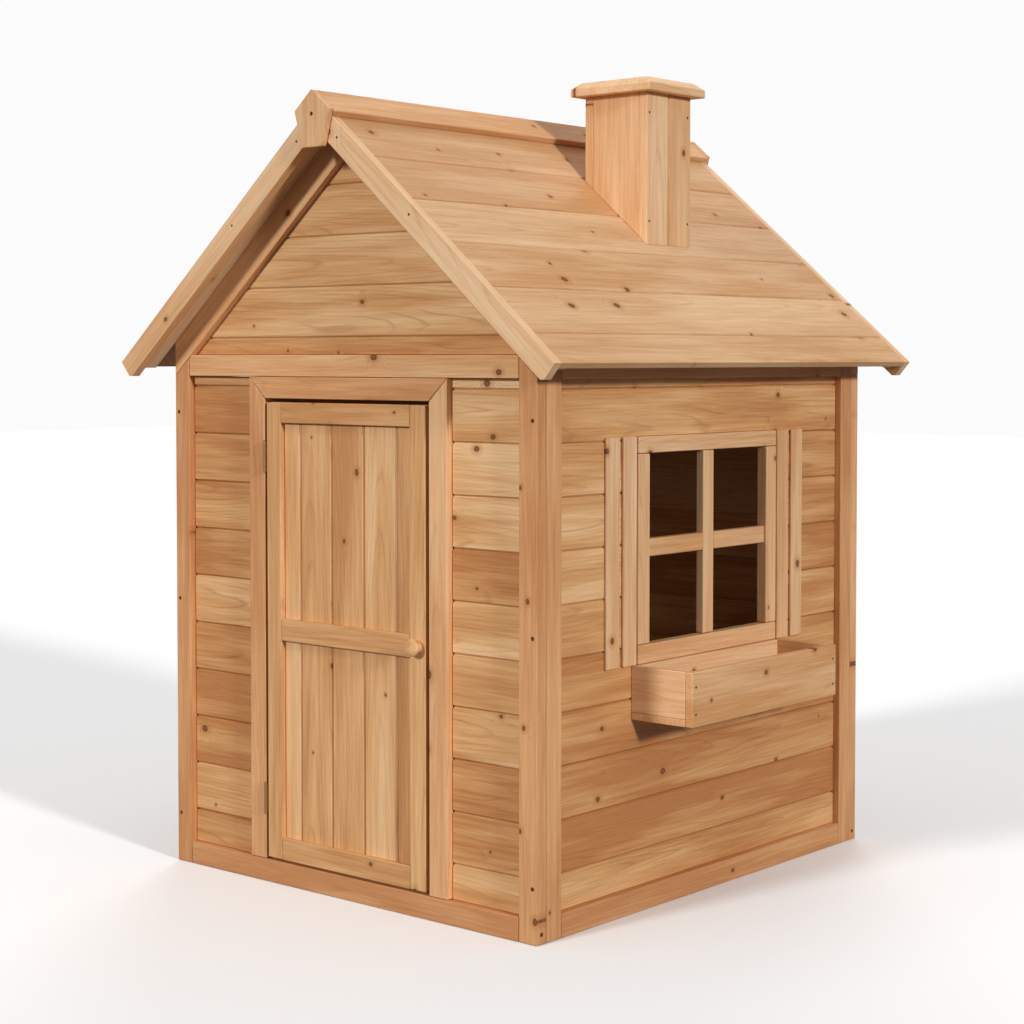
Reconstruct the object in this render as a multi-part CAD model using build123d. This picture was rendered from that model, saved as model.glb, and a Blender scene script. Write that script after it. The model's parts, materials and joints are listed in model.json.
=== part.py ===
from build123d import *
from math import cos, radians, sin, tan
import os

os.makedirs("parts", exist_ok=True)

# A child's wooden playhouse: four framed wall panels under a gable roof.
# Millimetres. X runs along the gable front, Y from front to back, Z up.
# The origin is on the floor, in the middle of the four walls' footprint.
# The door is in the front gable (facing -Y) and the window faces +X.

# ---- Overall sizes ----
house_width = 900.0
house_depth = 1000.0
roof_pitch = 40.5
eave_height = 958.0
eave_overhang = 86.0
front_overhang = 42.0
back_overhang = 36.0

# ---- Wall panels ----
panel_thick = 24.0
frame_width = 40.0
rail_bottom_height = 42.0
rail_top_drop = 26.0
side_header_drop = 28.0
wall_roof_gap = 3.7
rake_trim_depth = 63.0
siding_recess = 13.0
board_pitch = 90.0
first_seam = 13.5
v_groove = 2.5
seam_pocket_width = 3.0     # open end of a V joint beside a frame
seam_pocket_height = 5.0
seam_pocket_depth = 6.0
joint_gap = 0.3            # between neighbouring boards
tongue_inset = 4.3         # from a board's face to its tongue
tongue_thick = 3.0
tongue_length = 4.0
tongue_clearance = 0.25

# ---- Roof ----
roof_board_thick = 12.0
roof_board_width = 116.5
first_roof_board = 76.5
roof_v = 2.5
batten_thick = 16.0
batten_start = 15.0
middle_batten_width = 40.0
middle_batten_start = 130.0
barge_depth = 40.0
barge_thick = 18.0
barge_tip_cut = 26.5
cap_board_thick = 12.0
cap_board_width = 51.6
finial_thick = 12.0
finial_half_width = 42.0
finial_foot_half = 23.5
finial_drop = 83.8
finial_ease = 2.5

# ---- Doorway and door ----
opening_left = -200.5
opening_right = 208.5
casing_width_left = 41.5
casing_width_right = 42.5
casing_head_height = 40.0
door_gap = 5.5
door_bottom_gap = 4.5
door_latch_gap = 8.0
door_top_gap = 6.5
door_frame_thick = 10.0
door_board_thick = 10.0
door_v = 3.0
door_stile_width = 37.0
door_top_rail_height = 37.5
door_bottom_rail_height = 40.5
door_middle_rail_z = 450.0
door_middle_rail_height = 40.0
door_seams = [78.0, 158.0, 238.5, 318.5]
knob_height = 470.0
knob_reach = 20.0
knob_radius = 15.7
knob_base_radius = 11.0
knob_waist_radius = 9.0
stop_width = 36.0
stop_thick = 12.0
stop_lap = 16.0
stop_end_gap = 12.0

# ---- Hinges ----
hinge_height = 56.0
hinge_low_z = 128.0
hinge_high_z = 757.5
leaf_thick = 1.5
barrel_radius = 3.0
pin_radius = 1.5
pin_clearance = 0.05
knuckle_gap = 0.3
knuckles = 5
barrel_face_gap = 0.5
leaf_back_inset = 1.0
pin_head_radius = 2.6
pin_head_height = 1.6

# ---- Window ----
window_half_width = 217.0
window_low_z = 432.0
window_high_z = 830.0
window_stile = 34.0
window_head = 30.0
window_sill = 34.0
window_frame_depth = 22.0
window_frame_step = 7.0
mullion_width = 33.0
transom_low_z = 618.0
transom_height = 32.0
bar_depth = 17.0
bar_step = 4.0

# ---- Shutters ----
shutter_strip = 38.0
shutter_strip_gap = 10.0
shutter_frame_gap = 4.0
shutter_thick = 6.0

# ---- Flower box ----
box_half_length = 230.0
box_reach = 118.0
box_height = 95.0
box_wall = 15.0
box_bottom = 13.0
box_back = 12.0

# ---- Chimney ----
chimney_in_x = 132.0
chimney_out_x = 279.0
chimney_front_y = 24.0
chimney_back_y = 164.0
chimney_wall = 19.0
chimney_v = 3.5
chimney_rise = 47.2
chimney_cap_lap = 20.0
chimney_cap_height = 27.0
chimney_cap_bevel_out = 15.0
chimney_cap_bevel_down = 12.0

# ---- Screws ----
screw_head = 7.0
screw_head_height = 2.0
screw_shank = 4.0
small_head = 4.4
small_head_height = 0.9
small_shank = 2.5
screw_clearance = 0.3

# ---- Derived planes and lines ----
half_width = house_width / 2
half_joint = joint_gap / 2
half_depth = house_depth / 2
eave_x = half_width + eave_overhang
slope_c = cos(radians(roof_pitch))
slope_s = sin(radians(roof_pitch))
slope_t = tan(radians(roof_pitch))
ridge_s = eave_x / slope_c
ridge_z = eave_height + eave_x * slope_t
siding_thick = panel_thick - siding_recess
inner_stile_x = half_width - frame_width
top_rail_z = eave_height - rail_top_drop
side_header_z = eave_height - side_header_drop
rake_trim_low = roof_board_thick + rake_trim_depth
roof_front_y = -half_depth - front_overhang
roof_back_y = half_depth + back_overhang
barge_front_y = roof_front_y - barge_thick
barge_back_y = roof_back_y + barge_thick
opening_top = top_rail_z - casing_head_height
casing_left = opening_left - casing_width_left
casing_right = opening_right + casing_width_right

nodes = {}
holes = {}


def add(name, *shapes):
    for shape in shapes:
        nodes.setdefault(name, []).extend(shape.solids())


# A straight block between two corners.
def block(x0, x1, y0, y1, z0, z1):
    middle = Pos((x0 + x1) / 2, (y0 + y1) / 2, (z0 + z1) / 2)
    return middle * Box(x1 - x0, y1 - y0, z1 - z0)


# An outline in XZ carried along Y, in YZ carried along X, or in XY carried along Z.
def prism_y(points, y0, y1):
    face = make_face(Polyline(*[(x, y0, z) for x, z in points], close=True))
    return extrude(face, amount=y1 - y0, dir=(0, 1, 0))


def prism_x(points, x0, x1):
    face = make_face(Polyline(*[(x0, y, z) for y, z in points], close=True))
    return extrude(face, amount=x1 - x0, dir=(1, 0, 0))


def prism_z(points, z0, z1):
    face = make_face(Polyline(*[(x, y, z0) for x, y in points], close=True))
    return extrude(face, amount=z1 - z0, dir=(0, 0, 1))


def flip(points):
    return [(-x, z) for x, z in points]


# Distance s up the slope from the eave, depth d below the roof's top surface.
def roof_point(s, d):
    return (eave_x - s * slope_c - d * slope_s, eave_height + s * slope_s - d * slope_c)


# Height of the line d below the roof surface, above a place x.
def rake_z(x, d):
    return eave_height + (eave_x - abs(x)) * slope_t - d / slope_c


# The place x where the line d below the roof surface has height z.
def rake_x(z, d):
    return eave_x - (z - eave_height + d / slope_c) / slope_t


# Section of a tongued and grooved board as (depth behind the face, place across the board).
# A jointed low edge has a groove and a jointed high edge has a tongue, each with a V of size v at the face.
def board_section(a0, a1, thick, v0, v1):
    tongue_back = tongue_inset + tongue_thick
    section = [(thick, a0)]
    if v0:
        groove_end = a0 + tongue_length + tongue_clearance
        section += [
            (tongue_back + tongue_clearance, a0),
            (tongue_back + tongue_clearance, groove_end),
            (tongue_inset - tongue_clearance, groove_end),
            (tongue_inset - tongue_clearance, a0),
            (v0, a0),
        ]
    section += [(0.0, a0 + v0), (0.0, a1 - v1)]
    if v1:
        tongue_end = a1 + tongue_length
        section += [
            (v1, a1),
            (tongue_inset, a1),
            (tongue_inset, tongue_end),
            (tongue_back, tongue_end),
            (tongue_back, a1),
        ]
    return section + [(thick, a1)]


# A jointed board lying on the slope from s0 up to s1, or up to the plumb cut beside the ridge line.
def roof_board_outline(s0, s1, v0, v1):
    if s1 is not None:
        section = board_section(s0, s1, roof_board_thick, v0, v1)
        return [roof_point(s, d) for d, s in section]
    lower = board_section(s0, s0 + roof_board_thick, roof_board_thick, v0, 0.0)[:-2]
    return [roof_point(s, d) for d, s in lower] + [
        (half_joint, rake_z(half_joint, 0.0)),
        (half_joint, rake_z(half_joint, roof_board_thick)),
    ]


# A plain board on the slope from s0 to the plumb cut, between depths d0 and d1.
def slope_outline(s0, d0, d1):
    return [
        roof_point(s0, d1),
        roof_point(s0, d0),
        (half_joint, rake_z(half_joint, d0)),
        (half_joint, rake_z(half_joint, d1)),
    ]


# Horizontal V-jointed boards filling x0..x1, z0..z1 of a wall whose face is at y = -h.
def siding(x0, x1, z0, z1, h):
    seams = []
    z = first_seam
    while z < z1 - 6:
        if z > z0 + 6:
            seams.append(z)
        z += board_pitch
    edges = [z0] + seams + [z1]
    boards = []
    for low, high in zip(edges, edges[1:]):
        v_low = v_groove if low > z0 else 0.0
        v_high = v_groove if high < z1 else 0.0
        low += half_joint if v_low else 0.0
        high -= half_joint if v_high else 0.0
        face_y = -h + siding_recess
        section = board_section(low, high, siding_thick, v_low, v_high)
        board = prism_x([(face_y + depth, z) for depth, z in section], x0, x1)
        for seam, wanted in ((low, v_low), (high, v_high)):
            for end in (x0, x1):
                if wanted:
                    board = board - block(
                        end - seam_pocket_width, end + seam_pocket_width,
                        face_y - 1, face_y + seam_pocket_depth,
                        seam - seam_pocket_height / 2, seam + seam_pocket_height / 2)
        boards.append(board)
    return boards


# The wall pieces are drawn as a front wall and turned about Z to their own side.
front, right, back, left = 0.0, 90.0, 180.0, -90.0


def turned(angle, shapes):
    return [Rot(0, 0, angle) * shape for shape in shapes]


# ---- Gable walls (front and back) ----
def gable_wall(side, angle):
    face_y = -half_depth
    back_y = face_y + panel_thick
    trim = rake_trim_low
    stile = [
        (inner_stile_x, 0.0),
        (half_width, 0.0),
        (half_width, rake_z(half_width, trim)),
        (inner_stile_x, rake_z(inner_stile_x, trim)),
    ]
    stile_right = prism_y(stile, face_y, back_y)
    stile_left = prism_y(flip(stile), face_y, back_y)
    if angle:
        stile_right, stile_left = stile_left, stile_right
    add(side + "_stile_right", *turned(angle, [stile_right]))
    add(side + "_stile_left", *turned(angle, [stile_left]))
    rail = block(-inner_stile_x, inner_stile_x, face_y, back_y, 0.0, rail_bottom_height)
    add(side + "_bottom_rail", *turned(angle, [rail]))
    top = top_rail_z + frame_width
    clip = rake_x(top, trim)
    edge = rake_z(inner_stile_x, trim)
    top_rail = [
        (-inner_stile_x, top_rail_z),
        (inner_stile_x, top_rail_z),
        (inner_stile_x, edge),
        (clip, top),
        (-clip, top),
        (-inner_stile_x, edge),
    ]
    add(side + "_top_rail", *turned(angle, [prism_y(top_rail, face_y, back_y)]))
    rake = [
        (half_width, rake_z(half_width, trim)),
        (half_width, rake_z(half_width, roof_board_thick)),
        (half_joint, rake_z(half_joint, roof_board_thick)),
        (half_joint, rake_z(half_joint, trim)),
    ]
    rakes = [prism_y(rake, face_y, back_y), prism_y(flip(rake), face_y, back_y)]
    add(side + "_rake_trims", *turned(angle, rakes))
    triangle = [(-clip, top), (clip, top), (0.0, rake_z(0, trim))]
    gable = prism_y(triangle, face_y, back_y)
    boards = siding(-clip, clip, top, rake_z(0, trim), half_depth)
    add(side + "_gable_siding", *turned(angle, [board & gable for board in boards]))


gable_wall("front", front)
gable_wall("back", back)
front_boards = siding(-inner_stile_x, casing_left, rail_bottom_height, top_rail_z, half_depth)
front_boards += siding(casing_right, inner_stile_x, rail_bottom_height, top_rail_z, half_depth)
add("front_siding", *front_boards)
back_boards = siding(-inner_stile_x, inner_stile_x, rail_bottom_height, top_rail_z, half_depth)
add("back_siding", *turned(back, back_boards))

# ---- Door casing, mitred at the head ----
casing_y0 = -half_depth
casing_y1 = -half_depth + panel_thick
jamb_left = [
    (casing_left, rail_bottom_height),
    (opening_left, rail_bottom_height),
    (opening_left, opening_top),
    (casing_left, top_rail_z),
]
jamb_right = [
    (opening_right, rail_bottom_height),
    (casing_right, rail_bottom_height),
    (casing_right, top_rail_z),
    (opening_right, opening_top),
]
head = [
    (opening_left, opening_top),
    (opening_right, opening_top),
    (casing_right, top_rail_z),
    (casing_left, top_rail_z),
]
add("door_casing_jambs", prism_y(jamb_left, casing_y0, casing_y1))
add("door_casing_jambs", prism_y(jamb_right, casing_y0, casing_y1))
add("door_casing_head", prism_y(head, casing_y0, casing_y1))
add("door_stop", block(
    opening_right + stop_lap - stop_width, opening_right + stop_lap,
    casing_y1, casing_y1 + stop_thick,
    rail_bottom_height + stop_end_gap, opening_top - stop_end_gap))


# ---- Side walls, standing between the gable walls ----
side_half = half_depth - panel_thick
side_inner = side_half - frame_width
side_top = rake_z(half_width, roof_board_thick) - wall_roof_gap
window_cut = block(
    -window_half_width, window_half_width,
    -half_width - 1, -half_width + panel_thick + 1,
    window_low_z, window_high_z)


def side_wall(side, angle, opening):
    face_y = -half_width
    back_y = face_y + panel_thick
    stiles = [
        block(-side_half, -side_inner, face_y, back_y, 0.0, side_top),
        block(side_inner, side_half, face_y, back_y, 0.0, side_top),
    ]
    add(side + "_wall_stiles", *turned(angle, stiles))
    rails = [
        block(-side_inner, side_inner, face_y, back_y, 0.0, rail_bottom_height),
        block(-side_inner, side_inner, face_y, back_y, side_header_z, side_top),
    ]
    add(side + "_wall_rails", *turned(angle, rails))
    for board in siding(-side_inner, side_inner, rail_bottom_height, side_header_z, half_width):
        rest = board - window_cut if opening else board
        notched = len(rest.solids()) == 1 and rest.volume < board.volume - 1
        name = "_wall_notched_boards" if notched else "_wall_siding"
        add(side + name, *turned(angle, [rest]))


side_wall("right", right, True)
side_wall("left", left, False)

# ---- Window: an open frame with one upright and one cross bar ----
frame_face = half_width - window_frame_step
frame_back = frame_face - window_frame_depth
bar_face = frame_face - bar_step
bar_back = bar_face - bar_depth
light_half = window_half_width - window_stile
light_low = window_low_z + window_sill
light_high = window_high_z - window_head
half_mullion = mullion_width / 2
transom_high_z = transom_low_z + transom_height
for sign in (-1, 1):
    y_pair = sorted([sign * light_half, sign * window_half_width])
    add("window_frame_stiles", block(
        frame_back, frame_face, y_pair[0], y_pair[1], light_low, light_high))
    y_pair = sorted([sign * half_mullion, sign * light_half])
    add("window_transom", block(
        bar_back, bar_face, y_pair[0], y_pair[1], transom_low_z, transom_high_z))
add("window_frame_head", block(
    frame_back, frame_face, -window_half_width, window_half_width, light_high, window_high_z))
add("window_frame_sill", block(
    frame_back, frame_face, -window_half_width, window_half_width, window_low_z, light_low))
add("window_mullion", block(
    bar_back, bar_face, -half_mullion, half_mullion, light_low, light_high))

# ---- Shutters: two upright strips each side of the window ----
siding_face = half_width - siding_recess
for name, sign in (("shutter_left", -1), ("shutter_right", 1)):
    near = window_half_width + shutter_frame_gap
    for strip in range(2):
        y_pair = sorted([sign * near, sign * (near + shutter_strip)])
        add(name, block(
            siding_face, siding_face + shutter_thick, y_pair[0], y_pair[1],
            window_low_z, window_high_z))
        near += shutter_strip + shutter_strip_gap

# ---- Flower box under the window ----
box_top = window_low_z
box_low = box_top - box_height
box_floor = box_low + box_bottom
box_out = half_width + box_reach
box_in = box_out - box_wall
box_end = box_half_length - box_wall
add("flower_box_front", block(
    box_in, box_out, -box_half_length, box_half_length, box_low, box_top))
add("flower_box_ends", block(
    siding_face, box_in, -box_half_length, -box_end, box_floor, box_top))
add("flower_box_ends", block(
    siding_face, box_in, box_end, box_half_length, box_floor, box_top))
add("flower_box_bottom", block(
    siding_face, box_in, -box_half_length, box_half_length, box_low, box_floor))
add("flower_box_back", block(
    siding_face, siding_face + box_back, -box_end, box_end, box_floor, box_top))

# ---- Door: upright boards behind a flat frame with a middle rail ----
door_left = opening_left + door_gap
door_right = opening_right - door_latch_gap
door_low = rail_bottom_height + door_bottom_gap
door_high = opening_top - door_top_gap
door_face = -half_depth
board_face = door_face + door_frame_thick
door_back = board_face + door_board_thick
board_edges = [door_left] + [door_left + seam for seam in door_seams] + [door_right]
for low, high in zip(board_edges, board_edges[1:]):
    v_low = door_v if low > door_left else 0.0
    v_high = door_v if high < door_right else 0.0
    low += half_joint if v_low else 0.0
    high -= half_joint if v_high else 0.0
    section = board_section(low, high, door_board_thick, v_low, v_high)
    add("door_boards", prism_z([(x, board_face + depth) for depth, x in section], door_low, door_high))
rail_left = door_left + door_stile_width
rail_right = door_right - door_stile_width
add("door_stile_hinge_side", block(
    door_left, rail_left, door_face, board_face, door_low, door_high))
add("door_stile_latch_side", block(
    rail_right, door_right, door_face, board_face, door_low, door_high))
door_rails = [
    ("door_top_rail", door_high - door_top_rail_height, door_high),
    ("door_middle_rail", door_middle_rail_z, door_middle_rail_z + door_middle_rail_height),
    ("door_bottom_rail", door_low, door_low + door_bottom_rail_height),
]
for name, low, high in door_rails:
    add(name, block(rail_left, rail_right, door_face, board_face, low, high))

# The turned knob: radius against reach from the door's face.
knob_x = door_right - door_stile_width / 2
knob_profile = [
    (0.0, 0.0),
    (knob_base_radius, 0.0),
    (knob_base_radius, 0.08 * knob_reach),
    (knob_waist_radius, 0.30 * knob_reach),
    (knob_waist_radius, 0.40 * knob_reach),
    (0.92 * knob_radius, 0.62 * knob_reach),
    (knob_radius, 0.74 * knob_reach),
    (knob_radius, 0.84 * knob_reach),
    (0.86 * knob_radius, 0.95 * knob_reach),
    (0.50 * knob_radius, knob_reach),
    (0.0, knob_reach),
]
knob_face = make_face(Polyline(*[(r, 0.0, z) for r, z in knob_profile], close=True))
knob = revolve(knob_face, Axis.Z, 360)
add("door_knob", Pos(knob_x, door_face, knob_height) * (Rot(90, 0, 0) * knob))

# ---- Butt hinges in the gap beside the door ----
hinge_x = opening_left + door_gap / 2
hinge_y = door_face - barrel_radius - barrel_face_gap
leaf_back = door_back - leaf_back_inset
knuckle_length = (hinge_height - (knuckles - 1) * knuckle_gap) / knuckles
upright = (Align.CENTER, Align.CENTER, Align.MIN)


def barrel(radius, z0, z1):
    return Pos(hinge_x, hinge_y, z0) * Cylinder(radius, z1 - z0, align=upright)


def hinge_leaf(x0, x1, z0, own):
    leaf = block(x0, x1, hinge_y, leaf_back, z0, z0 + hinge_height)
    for index in range(knuckles):
        low = z0 + index * (knuckle_length + knuckle_gap)
        high = low + knuckle_length
        if index % 2 == own:
            leaf = leaf + barrel(barrel_radius, low, high)
        else:
            notch = barrel(barrel_radius + knuckle_gap, low - knuckle_gap, high + knuckle_gap)
            leaf = leaf - notch
    return leaf - barrel(pin_radius + pin_clearance, z0 - 1, z0 + hinge_height + 1)


for hinge_z in (hinge_low_z, hinge_high_z):
    add("hinge_frame_leaves", hinge_leaf(opening_left, opening_left + leaf_thick, hinge_z, 0))
    add("hinge_door_leaves", hinge_leaf(door_left - leaf_thick, door_left, hinge_z, 1))
    hinge_end = hinge_z + hinge_height
    pin = barrel(pin_radius, hinge_z, hinge_end)
    pin = pin + barrel(pin_head_radius, hinge_end, hinge_end + pin_head_height)
    pin = pin + barrel(pin_head_radius, hinge_z - pin_head_height, hinge_z)
    tips = pin.edges().filter_by(GeomType.CIRCLE).sort_by(Axis.Z)
    add("hinge_pins", fillet([tips[0], tips[-1]], pin_head_height / 2))

# ---- Roof boards, battens, bargeboards ----
seams = [0.0]
s = first_roof_board
while s < ridge_s - 12:
    seams.append(s)
    s += roof_board_width
seams.append(None)
for name, sign in (("roof_boards_right", 1), ("roof_boards_left", -1)):
    for s0, s1 in zip(seams, seams[1:]):
        v0 = roof_v if s0 > 0 else 0.0
        low = s0 + half_joint if s0 > 0 else s0
        high = s1 - half_joint if s1 is not None else None
        outline = roof_board_outline(low, high, v0, roof_v)
        outline = outline if sign > 0 else flip(outline)
        add(name, prism_y(outline, roof_front_y, roof_back_y))

batten_low = roof_board_thick + batten_thick
end_batten = slope_outline(batten_start, roof_board_thick, batten_low)
mid_batten = slope_outline(middle_batten_start, roof_board_thick, batten_low)
half_middle = middle_batten_width / 2
for turn in (lambda points: points, flip):
    add("roof_battens", prism_y(turn(end_batten), roof_front_y, -half_depth))
    add("roof_battens", prism_y(turn(end_batten), half_depth, roof_back_y))
    add("roof_battens", prism_y(turn(mid_batten), -half_middle, half_middle))

tip_z = eave_height - barge_tip_cut
tip_d = (eave_height - tip_z) / slope_c
tip_s = (tip_z - eave_height + barge_depth * slope_c) / slope_s
barge = [
    roof_point(0.0, 0.0),
    roof_point(0.0, tip_d),
    roof_point(tip_s, barge_depth),
    (half_joint, rake_z(half_joint, barge_depth)),
    (half_joint, rake_z(half_joint, 0.0)),
]
for turn in (lambda points: points, flip):
    add("bargeboards_front", prism_y(turn(barge), barge_front_y, roof_front_y))
    add("bargeboards_back", prism_y(turn(barge), roof_back_y, barge_back_y))

# ---- Ridge cap and the two finial plates ----
cap = slope_outline(ridge_s - cap_board_width, -cap_board_thick, 0.0)
add("ridge_cap_right", prism_y(cap, barge_front_y, barge_back_y))
add("ridge_cap_left", prism_y(flip(cap), barge_front_y, barge_back_y))

finial_top = rake_z(0, -cap_board_thick)
finial_shoulder = finial_top - finial_half_width * slope_t
finial_outline = [
    (0.0, finial_top),
    (finial_half_width, finial_shoulder),
    (finial_foot_half, ridge_z - finial_drop),
    (-finial_foot_half, ridge_z - finial_drop),
    (-finial_half_width, finial_shoulder),
]
finial_front_y = barge_front_y - finial_thick
finial_back_y = barge_back_y + finial_thick
for name, y0, y1 in (
    ("finial_front", finial_front_y, barge_front_y),
    ("finial_back", barge_back_y, finial_back_y),
):
    plate = prism_y(finial_outline, y0, y1)
    add(name, fillet(plate.edges().filter_by(Axis.Y), finial_ease))

# ---- Chimney: a square box of boards standing on the right slope ----
chimney_top = ridge_z + chimney_rise
seam_y = (chimney_front_y + chimney_back_y) / 2
roof_mass = prism_y(
    [(0.0, ridge_z), (0.0, eave_height - 100), (eave_x + 60, eave_height - 100),
     (eave_x + 60, eave_height - 60 * slope_t)],
    chimney_front_y - 50, chimney_back_y + 50)
for near, far in (
    (chimney_in_x, chimney_in_x + chimney_wall),
    (chimney_out_x, chimney_out_x - chimney_wall),
):
    v_x = chimney_v if near < far else -chimney_v
    for end_y, side in ((chimney_front_y, -1), (chimney_back_y, 1)):
        edge_y = seam_y + side * half_joint
        groove_y = edge_y + side * chimney_v
        outline = [(far, end_y), (near, end_y), (near, groove_y), (near + v_x, edge_y), (far, edge_y)]
        add("chimney_side_boards", prism_z(outline, eave_height, chimney_top) - roof_mass)
inner_x = (chimney_in_x + chimney_wall, chimney_out_x - chimney_wall)
add("chimney_front_board", block(
    *inner_x, chimney_front_y, chimney_front_y + chimney_wall, eave_height, chimney_top) - roof_mass)
add("chimney_back_board", block(
    *inner_x, chimney_back_y - chimney_wall, chimney_back_y, eave_height, chimney_top) - roof_mass)
cap_x0 = chimney_in_x - chimney_cap_lap
cap_x1 = chimney_out_x + chimney_cap_lap
cap_y0 = chimney_front_y - chimney_cap_lap
cap_y1 = chimney_back_y + chimney_cap_lap
cap_high = chimney_top + chimney_cap_height
cap_bevel_z = cap_high - chimney_cap_bevel_down
cap_body = block(cap_x0, cap_x1, cap_y0, cap_y1, chimney_top, cap_high)
for low_x, high_x in ((cap_x0, cap_x0 + chimney_cap_bevel_out), (cap_x1, cap_x1 - chimney_cap_bevel_out)):
    wedge = [(low_x, cap_bevel_z), (low_x, cap_high + 1), (high_x, cap_high + 1), (high_x, cap_high)]
    cap_body = cap_body - prism_y(wedge, cap_y0 - 1, cap_y1 + 1)
for low_y, high_y in ((cap_y0, cap_y0 + chimney_cap_bevel_out), (cap_y1, cap_y1 - chimney_cap_bevel_out)):
    wedge = [(low_y, cap_bevel_z), (low_y, cap_high + 1), (high_y, cap_high + 1), (high_y, cap_high)]
    cap_body = cap_body - prism_x(wedge, cap_x0 - 1, cap_x1 + 1)
add("chimney_cap", cap_body)


# ---- Screws: a flat head let in flush, and clearance in each piece it passes ----
def screw(owner, at, direction, length, passes, small=False):
    head = (small_head if small else screw_head) / 2
    deep = small_head_height if small else screw_head_height
    shank = (small_shank if small else screw_shank) / 2
    place = Plane(origin=at, z_dir=direction)
    body = place * Cylinder(head, deep, align=upright)
    body = body + place * (Pos(0, 0, deep) * Cylinder(shank, length - deep, align=upright))
    add(owner, body)
    wide = place * (Pos(0, 0, -1) * Cylinder(head + screw_clearance, deep + 1, align=upright))
    thin = place * (Pos(0, 0, -1) * Cylinder(
        shank + screw_clearance, length + 1 + screw_clearance, align=upright))
    for name in passes:
        holes.setdefault(name, []).extend([wide, thin])


corner_screw_x = half_width - 10.0
corner_screws_z = [93.0, (93.0 + top_rail_z - 68.0) / 2 + 28.5, top_rail_z - 68.0]
foot_screw_y = half_depth - panel_thick / 2
foot_screw_z = 17.0
for sign, side in ((1, "right"), (-1, "left")):
    for end, end_name in ((-1, "front"), (1, "back")):
        stile = end_name + "_stile_" + side
        for z in corner_screws_z:
            screw("house_screws", (sign * corner_screw_x, end * half_depth, z),
                  (0, -end, 0), 60.0, [stile, side + "_wall_stiles"])
        screw("house_screws", (sign * half_width, end * foot_screw_y, foot_screw_z),
              (-sign, 0, 0), 65.0, [stile, end_name + "_bottom_rail"])

barge_screws = [(50.0, 21.0), (220.0, 17.0)]
for x, d in barge_screws:
    for sign in (1, -1):
        screw("house_screws", (sign * x, barge_front_y, rake_z(x, d)), (0, 1, 0),
              40.0, ["bargeboards_front", "roof_battens"], small=True)
        screw("house_screws", (sign * x, barge_back_y, rake_z(x, d)), (0, -1, 0),
              40.0, ["bargeboards_back", "roof_battens"], small=True)

finial_screw_z = ridge_z - 26.8
screw("house_screws", (0, finial_front_y, finial_screw_z), (0, 1, 0), 28.0,
      ["finial_front", "bargeboards_front"])
screw("house_screws", (0, finial_back_y, finial_screw_z), (0, -1, 0), 28.0,
      ["finial_back", "bargeboards_back"])

chimney_high_z = chimney_top - 38.0
for y, name in (
    (chimney_front_y + 8.0, "chimney_front_board"),
    (chimney_back_y - 10.0, "chimney_back_board"),
):
    low_out = rake_z(chimney_out_x, 0) + 44.5
    low_in = rake_z(chimney_in_x, 0) + 37.0
    for z in (low_out, chimney_high_z):
        screw("house_screws", (chimney_out_x, y, z), (-1, 0, 0), 45.0,
              ["chimney_side_boards", name], small=True)
    for z in (low_in, chimney_high_z):
        screw("house_screws", (chimney_in_x, y, z), (1, 0, 0), 45.0,
              ["chimney_side_boards", name], small=True)

box_screw_y = box_half_length - 10.5
for sign in (1, -1):
    for z in (box_top - 26.0, box_floor + 9.0):
        screw("house_screws", (box_out, sign * box_screw_y, z), (-1, 0, 0), 45.0,
              ["flower_box_front", "flower_box_ends"], small=True)
    screw("house_screws", (siding_face + box_back, sign * 120.0, box_top - 40.0), (-1, 0, 0),
          21.0, ["flower_box_back", "right_wall_siding", "right_wall_notched_boards"])

screw("door_screws", (knob_x, door_back, knob_height), (0, -1, 0), 36.0,
      ["door_boards", "door_stile_latch_side", "door_knob"])
leaf_screw_y = door_back - door_board_thick / 2 - 0.6
for hinge_z in (hinge_low_z, hinge_high_z):
    for z in (hinge_z + 14.0, hinge_z + hinge_height - 14.0):
        screw("house_screws", (opening_left + leaf_thick, leaf_screw_y, z), (-1, 0, 0), 16.0,
              ["hinge_frame_leaves", "door_casing_jambs"], small=True)
        screw("door_screws", (door_left - leaf_thick, leaf_screw_y, z), (1, 0, 0), 16.0,
              ["hinge_door_leaves", "door_boards"], small=True)


# ---- Cut the screw holes and write each sub-part ----
def boxes_meet(one, other):
    a = one.bounding_box()
    b = other.bounding_box()
    return all((
        a.min.X < b.max.X, b.min.X < a.max.X,
        a.min.Y < b.max.Y, b.min.Y < a.max.Y,
        a.min.Z < b.max.Z, b.min.Z < a.max.Z,
    ))


for name, solids in nodes.items():
    finished = []
    for solid in solids:
        piece = solid
        for hole in holes.get(name, []):
            if boxes_meet(solid, hole):
                piece = piece - hole
        finished.extend(piece.solids())
    shape = finished[0] if len(finished) == 1 else Compound(finished)
    export_step(shape, "parts/" + name + ".step")
print(len(nodes), "sub-parts written")
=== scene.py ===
import bpy
import bmesh
import json
import random
from math import radians, sin, cos, tau
from mathutils import Matrix, Vector


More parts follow.
